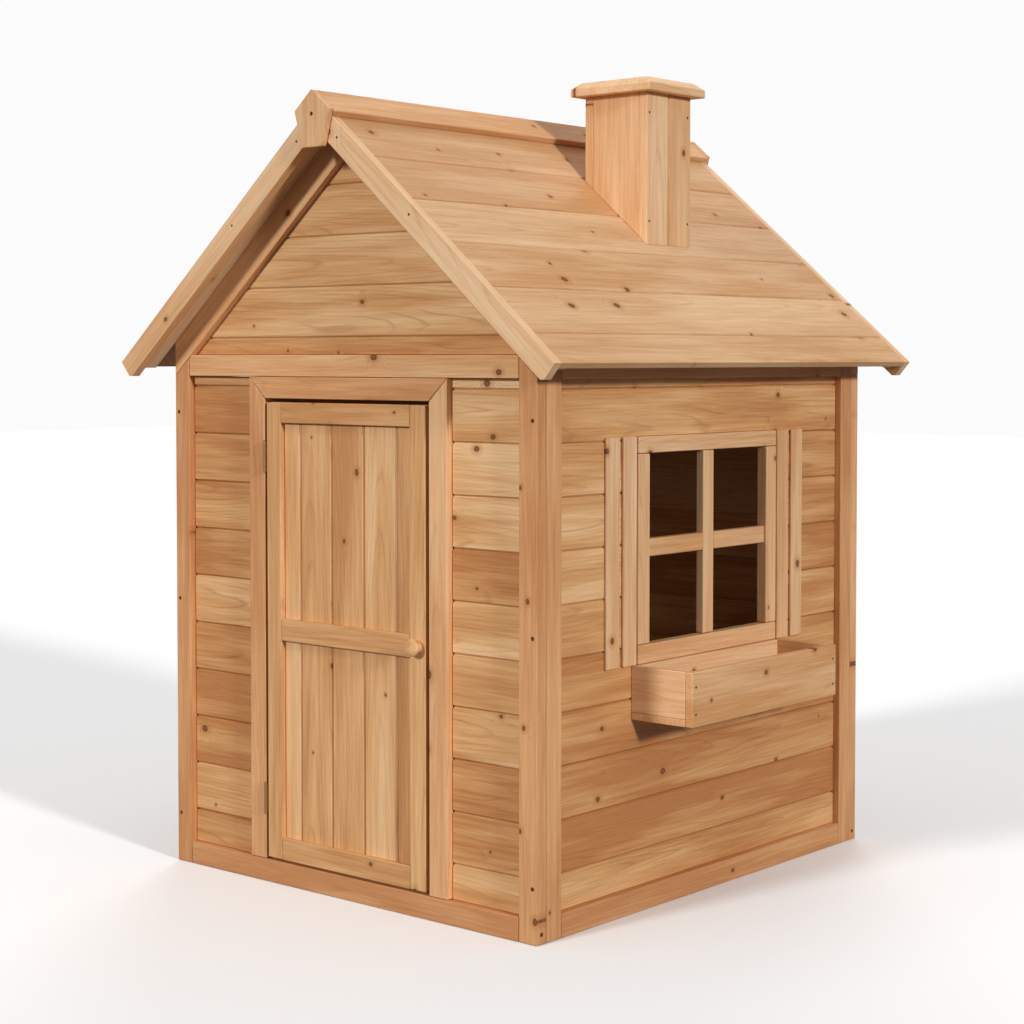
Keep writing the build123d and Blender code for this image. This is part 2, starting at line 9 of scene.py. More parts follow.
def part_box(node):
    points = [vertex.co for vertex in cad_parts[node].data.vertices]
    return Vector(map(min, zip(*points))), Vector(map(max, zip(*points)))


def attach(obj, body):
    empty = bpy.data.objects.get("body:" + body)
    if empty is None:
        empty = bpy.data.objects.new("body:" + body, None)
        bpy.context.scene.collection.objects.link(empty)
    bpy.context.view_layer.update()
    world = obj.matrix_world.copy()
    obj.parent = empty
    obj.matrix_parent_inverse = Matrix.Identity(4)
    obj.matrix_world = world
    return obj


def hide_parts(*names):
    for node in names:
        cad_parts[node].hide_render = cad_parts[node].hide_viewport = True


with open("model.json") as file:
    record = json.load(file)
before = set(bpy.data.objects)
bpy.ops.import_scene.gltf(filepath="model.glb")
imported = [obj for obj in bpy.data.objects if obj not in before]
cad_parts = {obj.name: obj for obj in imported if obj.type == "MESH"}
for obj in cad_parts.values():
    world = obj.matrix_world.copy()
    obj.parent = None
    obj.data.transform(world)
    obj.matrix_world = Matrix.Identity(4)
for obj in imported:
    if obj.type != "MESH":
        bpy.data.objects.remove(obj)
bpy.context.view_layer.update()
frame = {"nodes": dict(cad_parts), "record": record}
scene = bpy.context.scene
mm = 0.001
print("frame loaded:", len(frame["nodes"]), "nodes")


def hexColour(text):
    # sRGB hex to linear
    channels = [int(text[i:i + 2], 16) / 255 for i in (1, 3, 5)]
    linear = [c / 12.92 if c <= 0.04045 else ((c + 0.055) / 1.055) ** 2.4 for c in channels]
    return (*linear, 1.0)


def addNode(tree, kind, settings=None, links=None):
    # settings are properties or input values, links are nodes or sockets that feed the inputs
    node = tree.nodes.new(kind)
    for key, value in (settings or {}).items():
        if key == "stops":
            while len(node.color_ramp.elements) < len(value):
                node.color_ramp.elements.new(0.5)
            for element, (place, colour) in zip(node.color_ramp.elements, value):
                element.position = place
                element.color = hexColour(colour)
        elif isinstance(key, str) and hasattr(node, key):
            setattr(node, key, value)
        else:
            node.inputs[key].default_value = value
    for key, source in (links or {}).items():
        tree.links.new(source.outputs[0] if hasattr(source, "outputs") else source, node.inputs[key])
    return node


def newTree(name):
    material = bpy.data.materials.new(name)
    material.use_nodes = True
    material.node_tree.nodes.clear()
    return material, material.node_tree


# Planed fir under a clear satin stain. Flat-sawn faces show arched latewood lines,
# pale sapwood beside redder heartwood, and small round knots.
firLook = {
    "ringSpacing": 5.4,           # mm between growth rings
    "taper": 0.030,               # the tree's taper, which turns the rings into long arches
    "sway": 20.0,                 # mm the rings wander along a board
    "ripple": 2.6,                # mm of short wander
    "patterns": {                 # patches per mm along and across the grain, detail, roughness
        "sway": (0.0026, 0.011, 2.0, 0.45),
        "ripple": (0.008, 0.07, 3.0, 0.5),
        "weight": (0.003, 0.040, 2.0, 0.5),
        "heart": (0.0022, 0.017, 2.0, 0.4),
        "streak": (0.0055, 0.12, 3.0, 0.5),
        "fibre": (0.014, 1 / 1.1, 3.0, 0.6),    # coarser than real so that it shows
    },
    "latewood": [                 # strength of the line through one ring
        (0.0, "#808080"), (0.08, "#000000"), (0.50, "#303030"),
        (0.78, "#6c6c6c"), (0.93, "#ffffff"), (1.0, "#808080"),
    ],
    "ringWeight": {"From Min": 0.36, "From Max": 0.66, "To Min": 0.15},
    "heartBand": (0.40, 0.60),    # noise at the sapwood side and the heartwood side of a band
    "streakShade": {"From Min": 0.35, "From Max": 0.65, "To Min": -0.15, "To Max": 0.15},
    "fibreShade": {"From Min": 0.3, "From Max": 0.7, "To Min": 0.86, "To Max": 1.10},
    "fibreRoughness": {"From Min": 0.2, "From Max": 0.8, "To Min": 0.63, "To Max": 0.49},
    "knotCell": (170.0, 100.0),   # mm along and across, one possible knot in each
    "knotSpread": 0.85,           # how far a knot strays from the middle of its cell
    "knotShare": 0.50,            # share of the cells with a knot
    "knotRadius": {"To Min": 1.5, "To Max": 5.0},    # mm
    "knotSquash": 0.8,            # along over across; below 1 the knot is longer along the grain
    "knotWobble": 1.3,            # mm its outline strays to either side
    "wobbleScale": 0.35,          # patches per mm
    "knotParts": {                # shares of the radius where a part starts and is full, strength
        "core": (1.35, 0.65, 0.88, "LINEAR"),
        "rimInside": (0.55, 1.0, 1.0, "LINEAR"),
        "rimOutside": (1.4, 1.0, 0.8, "LINEAR"),
        "halo": (3.6, 1.0, 0.55, "LINEAR"),
        "swirl": (7.0, 0.0, 16.0, "SMOOTHSTEP"),    # mm the rings bend round the knot
    },
    "knotWood": "#7a4620",
    "knotRim": "#3f1f0c",
    "knotHalo": "#b06c34",
    "ringBump": 0.10,
    "fibreBump": 0.06,
    "bump": {"Strength": 0.6, "Distance": 0.0012},
    "shader": {"Specular IOR Level": 0.22, "IOR": 1.5},
}


def firMaterial(wood):
    look = firLook
    material, tree = newTree(wood["name"])
    board = addNode(tree, "ShaderNodeAttribute", {"attribute_name": "grainPlace"})
    place = board.outputs["Vector"]
    tone = addNode(tree, "ShaderNodeAttribute", {"attribute_name": "boardTone"})
    noise = {}
    for name, (along, across, detail, roughness) in look["patterns"].items():
        drawnOut = addNode(tree, "ShaderNodeMapping",
                           {"vector_type": "POINT", "Scale": (along, across, across)},
                           {"Vector": place})
        noise[name] = addNode(tree, "ShaderNodeTexNoise",
                              {"Scale": 1.0, "Detail": detail, "Roughness": roughness},
                              {"Vector": drawnOut})

    # knots: some cells have a round place that the rings flow round
    cellLength, cellWidth = look["knotCell"]
    cells = addNode(tree, "ShaderNodeMapping",
                    {"vector_type": "POINT", "Scale": (1 / cellLength, 1 / cellWidth, 0)},
                    {"Vector": place})
    knots = addNode(tree, "ShaderNodeTexVoronoi",
                    {"voronoi_dimensions": "2D", "Scale": 1.0, "Randomness": look["knotSpread"]},
                    {"Vector": cells})
    chance = addNode(tree, "ShaderNodeSeparateColor", None, {"Color": knots.outputs["Color"]})
    offset = addNode(tree, "ShaderNodeVectorMath", {"operation": "SUBTRACT"},
                     {0: cells, 1: knots.outputs["Position"]})
    apart = addNode(tree, "ShaderNodeVectorMath",
                    {"operation": "MULTIPLY", 1: (cellLength * look["knotSquash"], cellWidth, 0)},
                    {0: offset})
    reach = addNode(tree, "ShaderNodeVectorMath", {"operation": "LENGTH"}, {0: apart})
    wobbleNoise = addNode(tree, "ShaderNodeTexNoise", {"Scale": look["wobbleScale"], "Detail": 2.0},
                          {"Vector": place})
    stray = look["knotWobble"]
    wobble = addNode(tree, "ShaderNodeMath",
                     {"operation": "MULTIPLY_ADD", 1: 2 * stray, 2: -stray}, {0: wobbleNoise})
    knotReach = addNode(tree, "ShaderNodeMath", {"operation": "ADD"},
                        {0: reach.outputs["Value"], 1: wobble})
    knotRadius = addNode(tree, "ShaderNodeMapRange", look["knotRadius"],
                         {"Value": chance.outputs["Green"]})
    hasKnot = addNode(tree, "ShaderNodeMath", {"operation": "LESS_THAN", 1: look["knotShare"]},
                      {0: chance.outputs["Red"]})
    ratio = addNode(tree, "ShaderNodeMath", {"operation": "DIVIDE"}, {0: knotReach, 1: knotRadius})
    knot = {}
    for name, (start, full, strength, fade) in look["knotParts"].items():
        faded = addNode(tree, "ShaderNodeMapRange",
                        {"interpolation_type": fade, "From Min": start, "From Max": full,
                         "To Max": strength}, {"Value": ratio})
        knot[name] = addNode(tree, "ShaderNodeMath", {"operation": "MULTIPLY"},
                             {0: faded, 1: hasKnot})
    rim = addNode(tree, "ShaderNodeMath", {"operation": "MULTIPLY"},
                  {0: knot["rimInside"], 1: knot["rimOutside"]})

    # growth rings round a pith below the face, wandering along the board
    axes = addNode(tree, "ShaderNodeSeparateXYZ", None, {"Vector": place})
    flat = addNode(tree, "ShaderNodeCombineXYZ", None,
                   {"X": axes.outputs["Y"], "Y": axes.outputs["Z"]})
    fromPith = addNode(tree, "ShaderNodeVectorMath", {"operation": "LENGTH"}, {0: flat})
    tapered = addNode(tree, "ShaderNodeMath", {"operation": "MULTIPLY_ADD", 1: look["taper"]},
                      {0: axes.outputs["X"], 2: fromPith.outputs["Value"]})
    swayed = addNode(tree, "ShaderNodeMath", {"operation": "MULTIPLY_ADD", 1: look["sway"]},
                     {0: noise["sway"], 2: tapered})
    rippled = addNode(tree, "ShaderNodeMath", {"operation": "MULTIPLY_ADD", 1: look["ripple"]},
                      {0: noise["ripple"], 2: swayed})
    swirled = addNode(tree, "ShaderNodeMath", {"operation": "ADD"}, {0: rippled, 1: knot["swirl"]})
    counted = addNode(tree, "ShaderNodeMath", {"operation": "DIVIDE", 1: look["ringSpacing"]},
                      {0: swirled})
    ring = addNode(tree, "ShaderNodeMath", {"operation": "FRACT"}, {0: counted})
    latewood = addNode(tree, "ShaderNodeValToRGB", {"stops": look["latewood"]}, {"Fac": ring})
    weight = addNode(tree, "ShaderNodeMapRange", look["ringWeight"], {"Value": noise["weight"]})
    rings = addNode(tree, "ShaderNodeMath", {"operation": "MULTIPLY"}, {0: latewood, 1: weight})
    ringShare = addNode(tree, "ShaderNodeMath", {"operation": "MULTIPLY", 1: wood["ringStrength"]},
                        {0: rings})

    # heartwood and sapwood in soft bands along the board, streaks of fibre, then the knots
    sapSide, heartSide = look["heartBand"]
    heart = addNode(tree, "ShaderNodeMapRange",
                    {"From Min": sapSide, "From Max": heartSide,
                     "To Min": -wood["heartShare"], "To Max": wood["heartShare"]},
                    {"Value": noise["heart"]})
    streak = addNode(tree, "ShaderNodeMapRange", look["streakShade"], {"Value": noise["streak"]})
    spread = wood["toneSpread"]
    boardShade = addNode(tree, "ShaderNodeMath",
                         {"operation": "MULTIPLY_ADD", 1: spread, 2: 0.5 - spread / 2},
                         {0: tone.outputs["Fac"]})
    heartShade = addNode(tree, "ShaderNodeMath", {"operation": "ADD"}, {0: boardShade, 1: heart})
    shade = addNode(tree, "ShaderNodeMath", {"operation": "ADD"}, {0: heartShade, 1: streak})
    base = addNode(tree, "ShaderNodeValToRGB",
                   {"stops": [(0.0, wood["pale"]), (0.5, wood["middle"]), (1.0, wood["red"])]},
                   {"Fac": shade})
    ringed = addNode(tree, "ShaderNodeMix", {"data_type": "RGBA", 7: hexColour(wood["late"])},
                     {0: ringShare, 6: base})
    fibreShade = addNode(tree, "ShaderNodeMapRange", look["fibreShade"], {"Value": noise["fibre"]})
    colour = addNode(tree, "ShaderNodeVectorMath", {"operation": "SCALE"},
                     {0: ringed.outputs[2], "Scale": fibreShade})
    for share, name in ((knot["halo"], "knotHalo"), (knot["core"], "knotWood"), (rim, "knotRim")):
        mixed = addNode(tree, "ShaderNodeMix", {"data_type": "RGBA", 7: hexColour(look[name])},
                        {0: share, 6: colour})
        colour = mixed.outputs[2]

    ringHeight = addNode(tree, "ShaderNodeMath", {"operation": "MULTIPLY", 1: look["ringBump"]},
                         {0: rings})
    height = addNode(tree, "ShaderNodeMath", {"operation": "MULTIPLY_ADD", 1: look["fibreBump"]},
                     {0: noise["fibre"], 2: ringHeight})
    bump = addNode(tree, "ShaderNodeBump", look["bump"], {"Height": height})
    rough = addNode(tree, "ShaderNodeMapRange", look["fibreRoughness"], {"Value": noise["fibre"]})
    shader = addNode(tree, "ShaderNodeBsdfPrincipled", look["shader"],
                     {"Base Color": colour, "Roughness": rough, "Normal": bump})
    addNode(tree, "ShaderNodeOutputMaterial", None, {"Surface": shader})
    return material


# Pressed steel under thin passivated zinc: dull, warm and cloudy.
steelLook = {
    "spangle": 2.4,           # mm across one cloudy patch of zinc
    "cloudDark": 0.62,        # the darkest patch as a share of the colour
    "roughBelow": 0.08,       # how far the roughness strays
    "roughAbove": 0.12,
    "bump": {"Strength": 0.25, "Distance": 0.0003},
    "metallic": 0.9,
}


def steelMaterial(steel):
    look = steelLook
    material, tree = newTree(steel["name"])
    coords = addNode(tree, "ShaderNodeTexCoord")
    cloud = addNode(tree, "ShaderNodeTexNoise",
                    {"Scale": 1 / (look["spangle"] * mm), "Detail": 4.0, "Roughness": 0.6},
                    {"Vector": coords.outputs["Object"]})
    bright = hexColour(steel["colour"])
    dark = (*(channel * look["cloudDark"] for channel in bright[:3]), 1.0)
    shade = addNode(tree, "ShaderNodeMix", {"data_type": "RGBA", 6: dark, 7: bright}, {0: cloud})
    rough = addNode(tree, "ShaderNodeMapRange",
                    {"To Min": steel["roughness"] - look["roughBelow"],
                     "To Max": steel["roughness"] + look["roughAbove"]}, {"Value": cloud})
    bump = addNode(tree, "ShaderNodeBump", look["bump"], {"Height": cloud})
    shader = addNode(tree, "ShaderNodeBsdfPrincipled", {"Metallic": look["metallic"]},
                     {"Base Color": shade.outputs[2], "Roughness": rough, "Normal": bump})
    addNode(tree, "ShaderNodeOutputMaterial", None, {"Surface": shader})
    return material


# pale is the sapwood, middle the usual tone, red the heartwood and late the latewood line
woods = {
    "frame_wood": {
        "name": "planedFirFrame",
        "pale": "#ebbd8c", "middle": "#dea673", "red": "#c68857", "late": "#a4683a",
        "toneSpread": 0.80, "heartShare": 0.18, "ringStrength": 0.34,
    },
    "siding_wood": {
        "name": "planedFirSiding",
        "pale": "#ecc08e", "middle": "#d6a069", "red": "#bb7c49", "late": "#8c5228",
        "toneSpread": 0.85, "heartShare": 0.22, "ringStrength": 0.42,
    },
    "roof_wood": {
        "name": "planedFirRoof",
        "pale": "#e3bc91", "middle": "#d5ab80", "red": "#c59363", "late": "#a26b3a",
        "toneSpread": 0.85, "heartShare": 0.18, "ringStrength": 0.34,
    },
    "trim_wood": {
        "name": "planedFirTrim",
        "pale": "#ecc69c", "middle": "#e0b082", "red": "#cc9460", "late": "#a86e3c",
        "toneSpread": 0.6, "heartShare": 0.18, "ringStrength": 0.34,
    },
    "door_wood": {
        "name": "planedFirDoor",
        "pale": "#edc393", "middle": "#dfab76", "red": "#c58b57", "late": "#9c6234",
        "toneSpread": 0.75, "heartShare": 0.20, "ringStrength": 0.40,
    },
}
steels = {
    "hinge_steel": {"name": "yellowZincSteel", "colour": "#9c7648", "roughness": 0.50},
    "screw_steel": {"name": "passivatedSteel", "colour": "#5c4836", "roughness": 0.48},
}
finishes = {slot: firMaterial(wood) for slot, wood in woods.items()}
finishes.update({slot: steelMaterial(steel) for slot, steel in steels.items()})
slots = {part["node"]: part["material_slot"] for part in frame["record"]["subparts"]}
bodyOf = {}
for bodyName, members in frame["record"]["behaviour"]["bodies"].items():
    for member in members:
        bodyOf[member] = bodyName
print("materials made")


def islandsOf(bm):
    # the separate boards in a mesh, as lists of vertices
    seen = set()
    found = []
    for start in bm.verts:
        if start in seen:
            continue
        seen.add(start)
        group, front = [], [start]
        while front:
            vertex = front.pop()
            group.append(vertex)
            for edge in vertex.link_edges:
                other = edge.other_vert(vertex)
                if other not in seen:
                    seen.add(other)
                    front.append(other)
        found.append(group)
    return found


merging = {"distance": 0.02, "angle": 0.5}    # mm, degrees


def mergedCopy(node):
    bm = bmesh.new()
    bm.from_mesh(frame["nodes"][node].data)
    bmesh.ops.remove_doubles(bm, verts=bm.verts, dist=merging["distance"] * mm)
    bmesh.ops.dissolve_limit(bm, angle_limit=radians(merging["angle"]), verts=bm.verts,
                             edges=bm.edges)
    return bm


worldAxes = [Vector((1, 0, 0)), Vector((0, 1, 0)), Vector((0, 0, 1))]


def spansOf(group, axes):
    # length, middle and direction of a board along each axis
    spans = []
    for axis in axes:
        reach = [vertex.co.dot(axis) for vertex in group]
        spans.append((max(reach) - min(reach), (max(reach) + min(reach)) / 2, axis))
    return spans


def putPiece(bm, name, node, materials):
    # the finished mesh stands for one CAD node and rides on that node's body
    mesh = bpy.data.meshes.new(name)
    bm.to_mesh(mesh)
    bm.free()
    piece = bpy.data.objects.new(name, mesh)
    scene.collection.objects.link(piece)
    for material in materials:
        mesh.materials.append(material)
    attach(piece, bodyOf[node])
    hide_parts(node)
    return piece


sawing = {
    "roofPitch": 40.5,        # degrees
    "shortEdge": 4.0,         # mm; shorter edges, such as those round a hole, stay sharp
    "sharpAngle": 40.0,       # degrees
    "easeSegments": 3,
    "seed": 11,
    "startRange": (500, 60000),    # mm, so that no two boards come from the same wood
    "usualTone": 0.5,
    "toneVariety": 0.27,
    "pithOffset": 45.0,       # mm to either side of a board's middle
    "pithDepth": (12.0, 58.0),
}


def boardAxes(group, sloping, grain):
    # along the grain, across the face and through the board
    axes = worldAxes
    if sloping:
        middle = sum((vertex.co for vertex in group), Vector()) / len(group)
        side = 1 if middle.x > 0 else -1
        turn = radians(sawing["roofPitch"])
        axes = [Vector((-side * cos(turn), 0, sin(turn))), Vector((0, 1, 0)),
                Vector((side * sin(turn), 0, cos(turn)))]
    spans = spansOf(group, axes)
    order = grain or sorted(range(3), key=lambda i: -spans[i][0])
    return [spans[i] for i in order]


def placeOf(group):
    # sorts boards by x, then y, then z, to the nearest centimetre
    return [round(middle, 2) for _, middle, _ in spansOf(group, worldAxes)]


def makeBoards(node, work):
    rng = random.Random(node + str(sawing["seed"]))
    tones = work.get("tones", {}).get(node)
    bm = mergedCopy(node)
    sloping = work.get("sloping", False)
    grain = work.get("grain")
    for group in islandsOf(bm):
        cuts = (work["endGap"], work["sideGap"], 0.0)
        for (length, middle, axis), cut in zip(boardAxes(group, sloping, grain), cuts):
            shrink = 2 * cut * mm / length
            for vertex in group:
                vertex.co -= axis * ((vertex.co.dot(axis) - middle) * shrink)
    sharp = [edge for edge in bm.edges if len(edge.link_faces) == 2
             and edge.calc_length() > sawing["shortEdge"] * mm
             and edge.calc_face_angle(0) > radians(sawing["sharpAngle"])]
    for face in bm.faces:
        face.smooth = False
    eased = bmesh.ops.bevel(bm, geom=sharp, affect="EDGES", offset=work["ease"] * mm,
                            segments=sawing["easeSegments"], profile=0.5, material=-1,
                            clamp_overlap=True)
    for face in eased["faces"]:
        face.smooth = True
    placeLayer = bm.verts.layers.float_vector.new("grainPlace")
    toneLayer = bm.verts.layers.float.new("boardTone")
    for index, group in enumerate(sorted(islandsOf(bm), key=placeOf)):
        along, width, depth = boardAxes(group, sloping, grain)
        start = rng.uniform(*sawing["startRange"])
        pithAcross = rng.uniform(-sawing["pithOffset"], sawing["pithOffset"])
        pithBelow = rng.choice((-1, 1)) * rng.uniform(*sawing["pithDepth"])
        usual = work.get("tone", sawing["usualTone"])
        tone = tones[index] if tones else rng.gauss(usual, sawing["toneVariety"])
        for vertex in group:
            vertex[placeLayer] = Vector((
                (vertex.co.dot(along[2]) - along[1]) / mm + start,
                (vertex.co.dot(width[2]) - width[1]) / mm + pithAcross,
                (vertex.co.dot(depth[2]) - depth[1]) / mm + pithBelow))
            vertex[toneLayer] = min(1.0, max(0.0, tone))
    putPiece(bm, node + "_wood", node, [finishes[slots[node]]])


# Gaps and eases are in mm; an end gap shows as the dark line where a board butts its neighbour.
# Tones run from pale (0) to red (1), for a node's boards in order of x, then y, then z.
# Grain gives the axes along, across and through a board, longest first where it is left out.
wallFrames = {
    "nodes": ["front_stile_left", "front_stile_right", "front_top_rail", "front_bottom_rail",
              "back_stile_left", "back_stile_right", "back_top_rail", "back_bottom_rail",
              "left_wall_stiles", "left_wall_rails", "right_wall_stiles", "right_wall_rails",
              "door_casing_jambs", "door_casing_head", "door_stop"],
    "endGap": 0.55, "sideGap": 0.35, "ease": 1.5,
    "tones": {
        "front_stile_left": [1.0], "front_stile_right": [0.8],
        "front_top_rail": [0.3], "front_bottom_rail": [1.0],
        "right_wall_stiles": [0.7, 0.9], "right_wall_rails": [0.9, 0.5],
        "door_casing_jambs": [0.8, 0.3], "door_casing_head": [0.8],
    },
}
rakeTrims = {"nodes": ["front_rake_trims", "back_rake_trims"],
             "endGap": 0.3, "sideGap": 0.2, "ease": 1.2, "sloping": True}
siding = {
    "nodes": ["front_siding", "back_siding", "left_wall_siding", "right_wall_siding",
              "right_wall_notched_boards", "front_gable_siding", "back_gable_siding"],
    "endGap": 0.45, "sideGap": 0.35, "ease": 0.7,
    "tones": {
        "front_siding": [1.0, 0.7, 0.9, 0.9, 1.0, 0.2, 0.9, 0.7, 1.0, 0.8, 0.8,
                         0.5, 0.7, 0.7, 0.5, 0.4, 0.3, 0.8, 0.3, 0.0, 0.4, 0.1],
        "right_wall_siding": [0.4, 0.4, 0.2, 0.4, 0.6, 1.0, 0.9, 0.8, 0.8, 0.6, 0.9, 0.8, 0.8],
        "right_wall_notched_boards": [0.8, 0.6],
        "front_gable_siding": [0.6, 0.4, 0.2, 0.3, 0.7],
    },
}
for work in (wallFrames, rakeTrims, siding):
    for node in work["nodes"]:
        makeBoards(node, work)
print("walls made")

roofBoards = {"nodes": ["roof_boards_left", "roof_boards_right"],
              "endGap": 0.3, "sideGap": 0.40, "ease": 0.7, "grain": (1, 0, 2), "sloping": True,
              "tones": {"roof_boards_right": [0.9, 0.8, 1.0, 0.5, 0.8, 0.5, 0.8]}}
roofTrims = {"nodes": ["bargeboards_front", "bargeboards_back", "roof_battens"],
             "endGap": 0.2, "sideGap": 0.0, "ease": 1.8, "sloping": True, "tone": 0.05}
ridgeCaps = {"nodes": ["ridge_cap_left", "ridge_cap_right"],
             "endGap": 0.3, "sideGap": 0.0, "ease": 1.8, "grain": (1, 0, 2), "sloping": True,
             "tone": 0.7}
finials = {"nodes": ["finial_front", "finial_back"],
           "endGap": 0.0, "sideGap": 0.0, "ease": 1.4, "grain": (2, 0, 1), "tone": 0.9}
chimney = {"nodes": ["chimney_side_boards", "chimney_front_board", "chimney_back_board"],
           "endGap": 0.2, "sideGap": 0.45, "ease": 1.4, "grain": (2, 1, 0),
           "tones": {"chimney_side_boards": [0.8, 0.5, 0.1, 0.4], "chimney_front_board": [0.7]}}
chimneyCap = {"nodes": ["chimney_cap"],
              "endGap": 0.0, "sideGap": 0.0, "ease": 2.0, "grain": (1, 0, 2)}
for work in (roofBoards, roofTrims, ridgeCaps, finials, chimney, chimneyCap):
    for node in work["nodes"]:
        makeBoards(node, work)
print("roof and chimney made")

windowFrame = {
    "nodes": ["window_frame_stiles", "window_frame_head", "window_frame_sill",
              "window_mullion", "window_transom"],
    "endGap": 0.50, "sideGap": 0.30, "ease": 2.2,
    "tones": {
        "window_frame_stiles": [0.3, 0.4], "window_frame_head": [0.4], "window_frame_sill": [1.0],
        "window_mullion": [0.3], "window_transom": [0.9, 1.0],
    },
}
shutters = {"nodes": ["shutter_left", "shutter_right"],
            "endGap": 0.0, "sideGap": 0.0, "ease": 2.0,
            "tones": {"shutter_left": [0.4, 0.1], "shutter_right": [0.6, 0.7]}}
flowerBox = {
    "nodes": ["flower_box_front", "flower_box_ends", "flower_box_bottom", "flower_box_back"],
    "endGap": 0.35, "sideGap": 0.25, "ease": 1.4,
    "tones": {
        "flower_box_front": [1.0], "flower_box_ends": [0.2, 0.7],
        "flower_box_bottom": [0.6], "flower_box_back": [0.3],
    },
}
for work in (windowFrame, shutters, flowerBox):
    for node in work["nodes"]:
        makeBoards(node, work)
print("window, shutters and flower box made")

doorFrame = {
    "nodes": ["door_stile_hinge_side", "door_stile_latch_side", "door_top_rail",
              "door_middle_rail", "door_bottom_rail"],
    "endGap": 0.50, "sideGap": 0.0, "ease": 1.5,
    "tones": {
        "door_stile_hinge_side": [0.6], "door_stile_latch_side": [0.7], "door_top_rail": [0.8],
        "door_middle_rail": [0.6], "door_bottom_rail": [1.0],
    },
}
doorBoards = {"nodes": ["door_boards"], "endGap": 0.0, "sideGap": 0.35, "ease": 0.7,
              "tones": {"door_boards": [0.5, 0.7, 0.9, 0.5, 1.0]}}
for work in (doorFrame, doorBoards):
    for node in work["nodes"]:
        makeBoards(node, work)


# The knob is turned on a lathe from a dowel, so its end grain faces forward.
knobWork = {
    "foot": 0.70, "waist": 0.56, "swell": 1.0,    # radii as shares of the widest radius
    "waistPlace": 0.30, "widestPlace": 0.70,      # places as shares of the reach
    "swellCurve": 1.4,
    "endCurve": 2.3,          # how flat the front is before it rounds off
    "steps": 64,
    "stations": 26,
    "weld": 0.005,            # mm
    "grainPlace": (900.0, 9.0, 7.0),    # mm
    "tone": 0.45,
}


def makeKnob():
    work = knobWork
    low, high = (Vector(corner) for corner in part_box("door_knob"))
    reach = high.y - low.y
    radius = (high.x - low.x) / 2
    middle = Vector(((low.x + high.x) / 2, high.y, (low.z + high.z) / 2))
    bm = bmesh.new()
    last = bm.verts.new((0, 0, 0))
    edges = []
    for index in range(work["stations"] + 1):
        t = index / work["stations"]
        if t < work["waistPlace"]:
            u = t / work["waistPlace"]
            share = work["foot"] + (work["waist"] - work["foot"]) * (0.5 - 0.5 * cos(u * tau / 2))
        elif t < work["widestPlace"]:
            u = (t - work["waistPlace"]) / (work["widestPlace"] - work["waistPlace"])
            rise = sin(u * tau / 4) ** work["swellCurve"]
            share = work["waist"] + (work["swell"] - work["waist"]) * rise
        else:
            u = (t - work["widestPlace"]) / (1 - work["widestPlace"])
            share = max(0.0, 1 - u ** work["endCurve"]) ** 0.5 * work["swell"]
        across = share * radius if index < work["stations"] else 0.0
        vertex = bm.verts.new((across, -t * reach, 0))
        edges.append(bm.edges.new((last, vertex)))
        last = vertex
    bmesh.ops.spin(bm, geom=list(bm.verts) + edges, cent=(0, 0, 0), axis=(0, 1, 0), angle=tau,
                   steps=work["steps"], use_merge=True, use_duplicate=False)
    bmesh.ops.remove_doubles(bm, verts=bm.verts, dist=work["weld"] * mm)
    bmesh.ops.recalc_face_normals(bm, faces=bm.faces)
    placeLayer = bm.verts.layers.float_vector.new("grainPlace")
    toneLayer = bm.verts.layers.float.new("boardTone")
    for vertex in bm.verts:
        alongGrain = Vector((vertex.co.y, vertex.co.x, vertex.co.z))
        vertex[placeLayer] = alongGrain / mm + Vector(work["grainPlace"])
        vertex[toneLayer] = work["tone"]
    for face in bm.faces:
        face.smooth = True
    bmesh.ops.translate(bm, vec=middle, verts=bm.verts)
    putPiece(bm, "door_knob_turned", "door_knob", [finishes["door_wood"]])


makeKnob()
print("door made")

# Each screw head is let in flush and has a cross recess.
screwWork = {
    "segments": 16,
    "rim": 0.86,              # flat of the head as a share of its radius
    "armReach": 0.60,         # the recess, as shares of the head's radius
    "armWaist": 0.20,
    "armWidth": 0.97,         # how near an axis a point is to be on an arm
    "recessFloor": 0.7,       # the recess at its floor, as a share of its mouth
    "recessDepth": 0.9,       # mm
    "taper": 1.6,             # mm from the head's rim down to the shank
    "tipSpare": 2.2,          # mm the shank is shorter than the whole screw
    "sink": 0.35,             # mm the head lies below the wood
    "endSlack": 0.2,          # mm, to find the points at the ends
}


def grow(bm, edges):
    # a new loop out from a loop of edges, not yet moved
    grown = bmesh.ops.extrude_edge_only(bm, edges=edges)["geom"]
    verts = [item for item in grown if isinstance(item, bmesh.types.BMVert)]
    loop = [item for item in grown if isinstance(item, bmesh.types.BMEdge)
            and all(vertex in verts for vertex in item.verts)]
    return verts, loop


